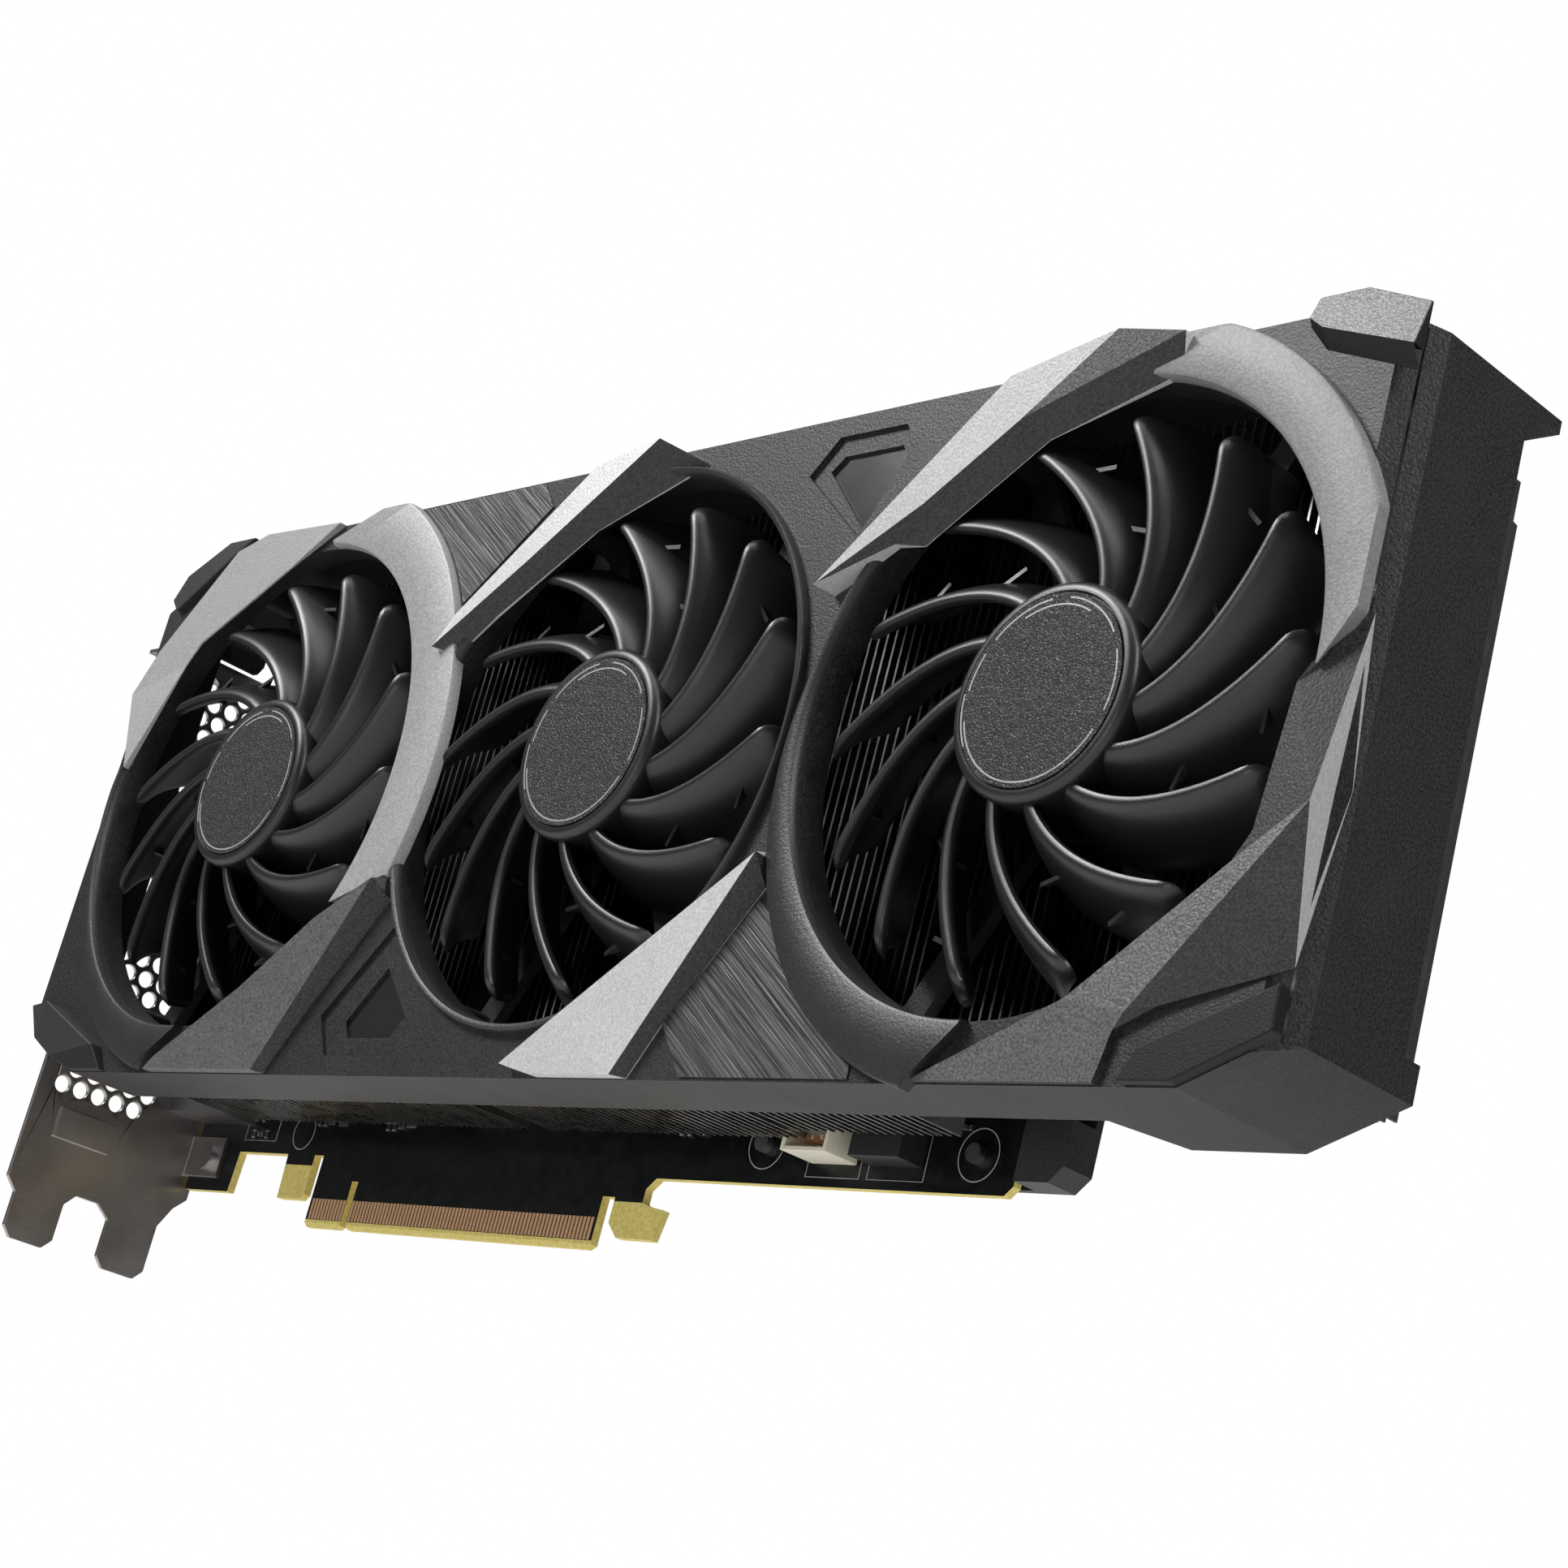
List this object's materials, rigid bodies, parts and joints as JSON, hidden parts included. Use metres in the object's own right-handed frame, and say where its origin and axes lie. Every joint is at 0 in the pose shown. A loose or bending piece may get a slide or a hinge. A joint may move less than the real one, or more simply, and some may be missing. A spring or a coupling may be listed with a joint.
{
  "type": "graphics card",
  "caption": "Two-slot graphics card with a faceted black and grey shroud over open fans, finned cooler, circuit board, backplate and vented slot bracket.",
  "frame": {"origin": "bottom middle of the edge connector's tongue, in the middle of the board's thickness", "axes": "+X from the slot bracket to the tail, +Z away from the slot, -Y out of the fan side"},
  "size_m": [0.3159, 0.0535, 0.1395],
  "materials": {
    "shroud_black": "fine spark-eroded grain",
    "trim_grey": "fine metallic-grey grain",
    "trim_black": "fine grain",
    "brushed_black": "diagonal brushed lines",
    "inset_black": "satin",
    "rotor_black": "satin moulded",
    "hub_black": "leather-like grain with thin light lines",
    "steel": "machined",
    "nickel_sheet": "satin nickel",
    "screw_black": "black zinc",
    "magnet": "sintered",
    "winding": "enamelled copper",
    "fin_aluminium": "mill finish",
    "copper": "drawn",
    "board": "black solder mask, bare yellow laminate at its lower tabs",
    "gold": "plated",
    "chip": "moulded",
    "die": "polished silicon",
    "ferrite": "pressed",
    "can": "satin",
    "pad": "soft",
    "connector_black": "moulded",
    "connector_white": "moulded",
    "backplate": "satin anodised"
  },
  "bodies": {
    "card": {"shroud_shell": "shroud_black", "pocket_insets": "inset_black", "trim_ring_left": "trim_black", "trim_ring_middle": "trim_black", "trim_ring_right": "trim_black", "trim_crescent_left": "trim_grey", "trim_crescent_right": "trim_grey", "trim_band_left": "trim_grey", "trim_bar_left": "trim_grey", "trim_bar_middle_upper": "trim_grey", "trim_bar_middle_lower": "trim_grey", "trim_bar_right_upper": "trim_grey", "trim_facets_tail": "trim_grey", "brushed_inserts": "brushed_black", "corner_guards": "shroud_black", "fan_frame_left": "rotor_black", "fan_frame_middle": "rotor_black", "fan_frame_right": "rotor_black", "fan_stators": "winding", "fan_bearings": "copper", "fan_boards": "board", "fan_screws": "screw_black", "fin_stack_board": "fin_aluminium", "fin_stack_tail": "fin_aluminium", "heat_pipes": "copper", "cold_plate": "copper", "circuit_board": "board", "edge_contacts": "gold", "gpu_substrate": "board", "gpu_die": "die", "memory_chips": "chip", "thermal_pads": "pad", "memory_plate": "fin_aluminium", "chokes": "ferrite", "power_stages": "chip", "capacitors": "can", "power_socket": "connector_black", "connector_pins": "gold", "fan_header": "connector_white", "lighting_header": "connector_black", "slot_bracket": "nickel_sheet", "board_screws": "steel", "display_ports": "steel", "hdmi_port": "steel", "backplate": "backplate", "spring_screws": "steel", "clamp_springs": "steel"},
    "left_fan": {"fan_rotor_left": "rotor_black", "hub_disc_left": "hub_black", "fan_shaft_left": "steel", "magnet_ring_left": "magnet"},
    "middle_fan": {"fan_rotor_middle": "rotor_black", "hub_disc_middle": "hub_black", "fan_shaft_middle": "steel", "magnet_ring_middle": "magnet"},
    "right_fan": {"fan_rotor_right": "rotor_black", "hub_disc_right": "hub_black", "fan_shaft_right": "steel", "magnet_ring_right": "magnet"}
  },
  "joints": [
    {"name": "left_fan_spin", "type": "hinge", "parent": "card", "child": "left_fan", "pos_m": [-0.0359, -0.038, 0.0713], "axis": [0, -1, 0], "continuous": true},
    {"name": "middle_fan_spin", "type": "hinge", "parent": "card", "child": "middle_fan", "pos_m": [0.0633, -0.038, 0.0713], "axis": [0, -1, 0], "continuous": true},
    {"name": "right_fan_spin", "type": "hinge", "parent": "card", "child": "right_fan", "pos_m": [0.1625, -0.038, 0.0713], "axis": [0, -1, 0], "continuous": true}
  ]
}
